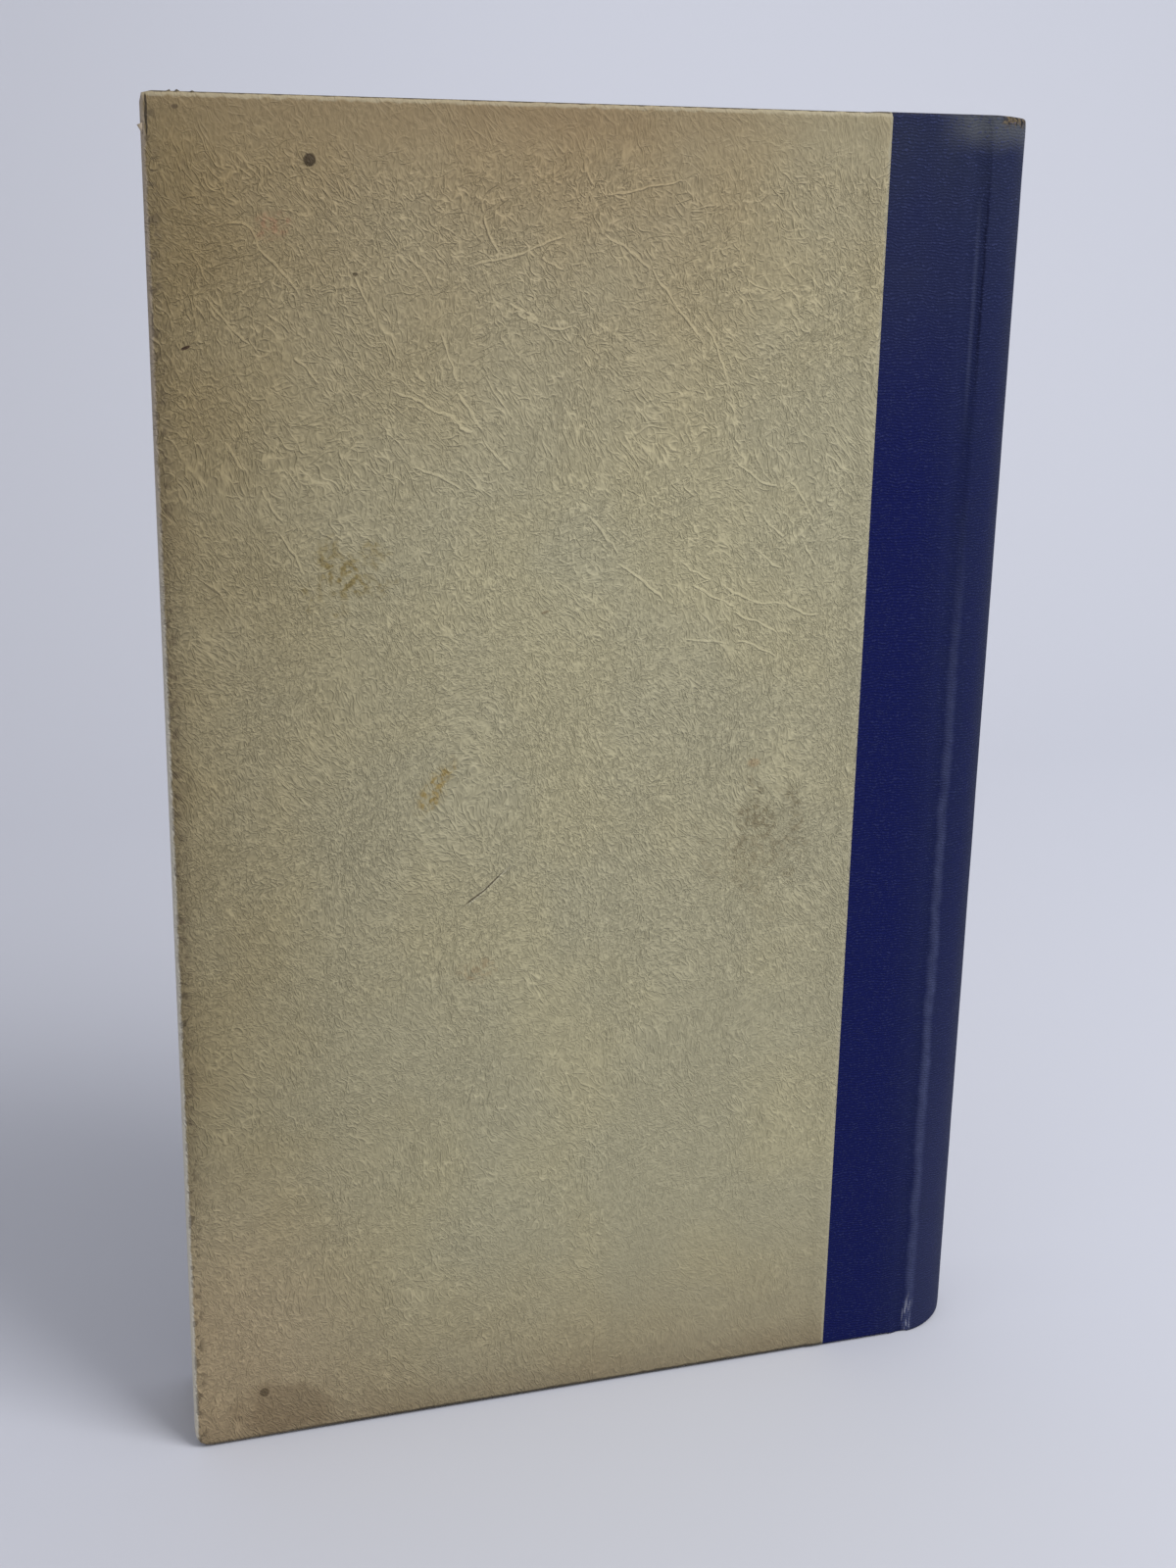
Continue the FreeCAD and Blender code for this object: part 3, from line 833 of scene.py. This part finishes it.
    def spot(at_u, at_v, wide, tall, ragged, tilt=0.0):
        """A mask over one mark: its centre, half its size in mm, how ragged, and its lean."""
        inside = sheet_place.node("ShaderNodeMapping", {"vector_type": "TEXTURE"},
                                  {"Vector": sheet_place, "Location": (at_u, at_v, 0.0),
                                   "Rotation": (0.0, 0.0, math.radians(tilt)),
                                   "Scale": (wide, tall, 1.0)})
        gap = inside.node("ShaderNodeVectorMath", {"operation": "LENGTH"}, {0: inside}, 1)
        soft = min(0.12 + 0.2 * ragged, 0.7)
        mark = (gap + uneven * ragged).step(1.0 + soft, 1.0 - soft)
        return mark * patchy if ragged > 1 else mark

    # The spots, stains and the scratch: a row has the mark's place, half sizes, ragged edge and
    # lean, then its strength and its colour.
    sheet_place = u.node("ShaderNodeCombineXYZ", {}, {0: u, 1: v})
    uneven = mottle - 0.5
    patchy = 0.25 + 1.3 * speckle
    if cover.name == "back":
        marks = ((23.7, 212.7, 0.86, 0.9, 0.3, 0, 0.95, (62, 50, 32)),
                 (4.8, 185.9, 0.8, 0.28, 0.5, 20, 0.95, (62, 44, 30)),
                 (30.2, 196.5, 0.35, 0.3, 0.3, 0, 0.8, (84, 72, 50)),
                 (18.0, 203.2, 2.6, 1.6, 1.6, 10, 0.3, (146, 104, 78)),
                 (60.5, 143.8, 0.7, 0.22, 0.6, 15, 0.7, (120, 104, 78)),
                 (28.6, 150.7, 4.6, 3.8, 3.0, 0, 0.55, (122, 106, 60)),
                 (42.0, 115.3, 1.7, 5.3, 1.4, -32, 0.6, (142, 122, 72)),
                 (100.5, 106.8, 4.6, 3.4, 3.6, 0, 0.38, (112, 104, 80)),
                 (99.0, 100.0, 6.5, 7.5, 4.6, 0, 0.2, (124, 110, 82)),
                 (51.3, 98.0, 4.8, 0.26, 0.4, 40, 0.5, (192, 186, 160)),
                 (49.0, 96.3, 2.3, 0.15, 0.3, 34, 0.9, (78, 68, 50)),
                 (51.9, 98.6, 2.5, 0.15, 0.3, 43, 0.9, (78, 68, 50)),
                 (49.6, 83.3, 2.6, 1.9, 2.4, 0, 0.24, (142, 116, 82)),
                 (11.7, 9.2, 0.8, 0.8, 0.3, 0, 0.8, (72, 62, 44)),
                 (15.5, 5.6, 8.0, 5.0, 1.0, 0, 0.42, (100, 82, 58)),
                 (4.5, 219.6, 0.5, 0.3, 0.3, 0, 0.7, (76, 62, 46)),
                 (98.0, 116.0, 1.2, 0.8, 1.0, 0, 0.4, (142, 108, 70)))
    else:
        marks = ((88.0, 40.0, 6.0, 4.0, 3.2, 0, 0.3, (120, 108, 74)),
                 (34.0, 168.0, 2.2, 1.4, 1.6, 0, 0.4, (136, 112, 76)),
                 (12.0, 12.0, 7.0, 5.0, 2.8, 0, 0.5, (104, 90, 66)))
    for at_u, at_v, wide, tall, ragged, tilt, strength, tone in marks:
        mark = spot(at_u, at_v, wide, tall, ragged, tilt)
        colour = (mark * strength).mix(colour, paint(*tone))

    # The edges: rubbed pale at the fore edge, partly a painted highlight, and at the head; dark where the
    # sheet turns under, which is dirt and painted shade at the head and painted shadow along the tail.
    dirt = place.grain(1.6 * mm, 1.0)
    worn_and_lit_edge_tone = v.step(120.0, 190.0).mix(paint(206, 200, 186), paint(166, 152, 134))
    # Painted highlight in part: the fore edge's arris is painted pale, as well as rubbed.
    rubbed_and_highlit = (0.35 - u + dirt * 0.5).step(0.15, 0.6)
    colour = (rubbed_and_highlit * 0.85).mix(colour, worn_and_lit_edge_tone)
    chips = dirt.step(0.56, 0.64) * (2.4 - u).step(0.0, 1.6) * u.step(-0.1, 0.2)
    colour = (chips * 0.6).mix(colour, paint(82, 70, 52))
    below_head = (board_head + paper) / mm - v
    above_tail = v - (board_foot - paper) / mm
    pale_head = (below_head - dirt * 0.8).step(0.5, 0.1)
    colour = (pale_head * 0.45).mix(colour, paint(178, 168, 142))
    # Painted shade: the dark line on the head's arris is partly dirt, and on the tail's arris it is a
    # painted shadow.
    edge_dirt_and_shade = (below_head - dirt * 0.3).step(0.06, -0.1)
    edge_dirt_and_shade = edge_dirt_and_shade.larger((above_tail - dirt * 0.3).step(0.7, 0.4) * (0.5 + 0.5 * u.step(5.0, 32.0)))
    colour = (edge_dirt_and_shade * 0.85).mix(colour, paint(60, 53, 42))
    cut_edge = (u - dirt * 0.5).step(116.15, 116.4)
    colour = (cut_edge * 0.6).mix(colour, paint(160, 154, 132))
    if cover.name == "back":
        # Painted shade: the dark of a crack along the fore edge's arris near the head.
        slit_shadow = abs(u - 0.42 + (dirt - 0.5) * 0.3) / (0.24 - abs(v - 218.6) * 0.05)
        slit_shadow = slit_shadow.step(1.1, 0.8) * v.step(215.3, 216.0) * v.step(221.5, 220.9)
        colour = (slit_shadow * 0.9).mix(colour, paint(50, 42, 32))
    feed(shader, "Base Color", colour)
    feed(shader, "Roughness", 0.52 + 0.2 * mottle)
    feed_relief(shader, relief, 0.2 * mm)
    return finish


for cover in covers:
    sheet = mesh_object("side_paper_" + cover.name, side_paper_sheet(cover),
                        side_paper_finish(cover))
    thicken(sheet, paper, -1.0)
    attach(sheet, cover.body)
    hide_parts(cover.name + "_side_paper")


# The endpapers: one folded sheet of cream paper at each end of the book. One half is pasted to the
# board over the turned-in edges and crosses the joint, the other is the flyleaf on the pages.
endpaper = 0.15 * mm
endpaper_cell = 1.6 * mm
fold_columns = 12
mull_flange_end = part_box("back_mull_flange")
step_slope = 0.8 * mm
flyleaf_cell = 6.0 * mm


def rise(distance):
    """0 to 1 as a sheet climbs on to something under it."""
    share = min(max(distance / step_slope + 0.5, 0.0), 1.0)
    return share * share * (3 - 2 * share)


def lifted(x, z):
    """How far the pasted sheet stands off the board, over turned-in paper, cloth and mull."""
    on_ends = max(rise(board_foot + turn_in - z), rise(z - board_head + turn_in))
    over_paper = max(rise(fore + turn_in - x), on_ends) * paper * (1 - rise(x - seam))
    over_cloth = on_ends * rise(x - cloth_start) * cloth
    flange_low, flange_high = mull_flange_end
    on_flange = rise(x - flange_low.x) * rise(z - flange_low.z) * rise(flange_high.z - z)
    return max(over_paper + over_cloth, on_flange * (flange_high.y - flange_low.y))


def endpaper_finish(name, from_fore, from_gutter):
    """Cream wove paper, browned round its edges and in the gutter."""
    finish, shader, place = new_finish(name, 0.8, 0.3, bends=True)
    z = place.part(2)
    cloudy = place.grain(30 * mm, 3.0, 0.4)
    speckle = place.grain(1.1 * mm, 3.0)
    foxing = place.grain(5 * mm, 2.0).step(0.68, 0.78) * place.grain(28 * mm, 1.0).step(0.5, 0.62)
    near = [(z - text_low.z) / (9 * mm), (text_high.z - z) / (9 * mm),
            from_fore(place.part(0)) / (9 * mm), from_gutter(place.part(0)) / (6 * mm)]
    browned = (near[0] + cloudy).step(1.2, 0.2)
    for distance in near[1:]:
        browned = browned.larger((distance + cloudy).step(1.2, 0.2))
    colour = (browned * 0.75).mix(paint(224, 215, 192), paint(198, 180, 142))
    colour = (foxing * 0.5).mix(colour, paint(172, 132, 86))
    feed(shader, "Base Color", colour.tinted(0.92 + 0.14 * speckle))
    feed_relief(shader, speckle, 0.03 * mm)
    return finish


for cover in covers:
    paste_low, paste_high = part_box(cover.name + "_pastedown")
    leaf_low, leaf_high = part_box(cover.name + "_flyleaf")
    low_x, board_x = paste_low.x - cover.shift, paste_high.x - cover.shift
    foot_x = leaf_high.x - cover.shift
    flat_columns = round((board_x - low_x) / endpaper_cell)
    places = [low_x + (board_x - low_x) * step / flat_columns for step in range(flat_columns + 1)]
    places += [board_x + (foot_x - board_x) * step / fold_columns
               for step in range(1, fold_columns + 1)]
    board_face = half_thickness + (back_board_high.y if cover.facing < 0 else -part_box("front_board")[0].y)
    leaf_face = half_thickness - abs(leaf_low.y if cover.facing < 0 else leaf_high.y)
    rows = round((paste_high.z - paste_low.z) / endpaper_cell)
    shape = bmesh.new()
    bmesh.ops.create_grid(shape, x_segments=len(places) - 1, y_segments=rows, size=0.5)
    for corner in shape.verts:
        column = round((corner.co.x + 0.5) * (len(places) - 1))
        z = paste_low.z + (corner.co.y + 0.5) * (paste_high.z - paste_low.z)
        x = places[column]
        depth = board_face + lifted(min(x, board_x), z) + endpaper
        across = max(0.0, (x - board_x) / (foot_x - board_x))
        depth += (leaf_face + endpaper - depth) * across * across * (3 - 2 * across)
        corner.co = cover.at(x, depth, z)
    if cover.facing < 0:
        bmesh.ops.reverse_faces(shape, faces=shape.faces[:])
    pasted_finish = endpaper_finish("endpaper_pasted_" + cover.name,
                                    lambda at: at - paste_low.x, lambda at: paste_high.x + 1.5 * mm - at)
    pasted = mesh_object("pastedown_" + cover.name, shape, pasted_finish)
    keep_rest_place(pasted)
    thicken(pasted, endpaper, -1.0)
    cover.at(foot_x, leaf_face, 0)
    cover.at(board_x, leaf_face, 0)
    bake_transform(pasted)
    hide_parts(cover.name + "_pastedown")

    shape = bmesh.new()
    columns = round((leaf_high.x - leaf_low.x) / flyleaf_cell)
    rows = round((leaf_high.z - leaf_low.z) / flyleaf_cell)
    bmesh.ops.create_grid(shape, x_segments=columns, y_segments=rows, size=0.5)
    middle_y = (leaf_low.y + leaf_high.y) / 2
    for corner in shape.verts:
        x = leaf_low.x + (corner.co.x + 0.5) * (leaf_high.x - leaf_low.x)
        z = leaf_low.z + (corner.co.y + 0.5) * (leaf_high.z - leaf_low.z)
        corner.co = Vector((x, middle_y, z))
    if cover.facing > 0:
        bmesh.ops.reverse_faces(shape, faces=shape.faces[:])
    leaf_finish = endpaper_finish("endpaper_free_" + cover.name,
                                  lambda at: at - leaf_low.x, lambda at: leaf_high.x - at)
    leaf = mesh_object("flyleaf_" + cover.name, shape, leaf_finish)
    keep_rest_place(leaf)
    thicken(leaf, endpaper * 0.8, 0.0)
    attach(leaf, "text_and_spine")
    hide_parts(cover.name + "_flyleaf")


# The table and wall that the book stands before: one sheet of pale paper that curves up behind it.
# It isn't part of the book.
floor_front = -1.6
curve_start = 0.35
curve_radius = 0.5
wall_top = 2.2
backdrop_half_width = 2.0
backdrop_finish, shader, place = new_finish("backdrop", 0.9)
# Painted shade: the sheet is painted darker towards the left and lighter towards the right.
painted_light_rightwards = place.part(0).step(-0.45, 0.35)
colour = painted_light_rightwards.mix(paint(186, 187, 196), paint(206, 208, 218))
feed(shader, "Base Color", colour)
shape = bmesh.new()
path = [Vector((0, floor_front, 0)), Vector((0, curve_start, 0))]
for step in range(1, 17):
    angle = math.pi / 2 * step / 16
    path.append(Vector((0, curve_start + curve_radius * math.sin(angle),
                        curve_radius * (1 - math.cos(angle)))))
path.append(Vector((0, curve_start + curve_radius, wall_top)))
bmesh.ops.create_grid(shape, x_segments=1, y_segments=len(path) - 1, size=0.5)
for corner in shape.verts:
    spot = path[round((corner.co.y + 0.5) * (len(path) - 1))]
    corner.co = Vector((corner.co.x * 2 * backdrop_half_width, spot.y, spot.z))
backdrop = mesh_object("backdrop", shape, backdrop_finish)


# Light: a broad soft lamp above and to the right, in a pale even room. It is plain enough for
# each colour to be seen about as it is written.
lamp_place = Vector((0.6, -0.75, 1.15))
lamp_size = 0.7
lamp_power = 14.0
room_light = 0.645
lamp_data = bpy.data.lights.new("soft_lamp", "AREA")
lamp_data.shape = "SQUARE"
lamp_data.size = lamp_size
lamp_data.energy = lamp_power
lamp = bpy.data.objects.new("soft_lamp", lamp_data)
lamp.location = lamp_place
lamp.rotation_euler = (lamp_place - Vector((0, 0, 0.11))).to_track_quat("Z", "Y").to_euler()
bpy.context.scene.collection.objects.link(lamp)
room = bpy.data.worlds.new("room")
room.use_nodes = True
room.node_tree.nodes["Background"].inputs["Color"].default_value = (0.96, 0.975, 1.0, 1.0)
room.node_tree.nodes["Background"].inputs["Strength"].default_value = room_light
bpy.context.scene.world = room

# The camera stands where the photograph was taken from, as worked out from the corners of the
# back cover. Its frame is 1200 by 1600.
camera_place = Vector((-0.10615, -0.32129, 0.21091))
camera_turn = (math.radians(73.49), math.radians(-1.0436), math.radians(-17.869))
focal_pixels = 2086.56
frame_height_pixels = 1600
sensor = 36.0
camera_data = bpy.data.cameras.new("camera")
camera_data.sensor_width = sensor
camera_data.lens = focal_pixels / frame_height_pixels * sensor
camera_data.clip_start = 0.01
camera_data.clip_end = 20.0
camera = bpy.data.objects.new("camera", camera_data)
camera.location = camera_place
camera.rotation_euler = camera_turn
bpy.context.scene.collection.objects.link(camera)
bpy.context.scene.camera = camera
bpy.context.scene.view_settings.view_transform = "Standard"
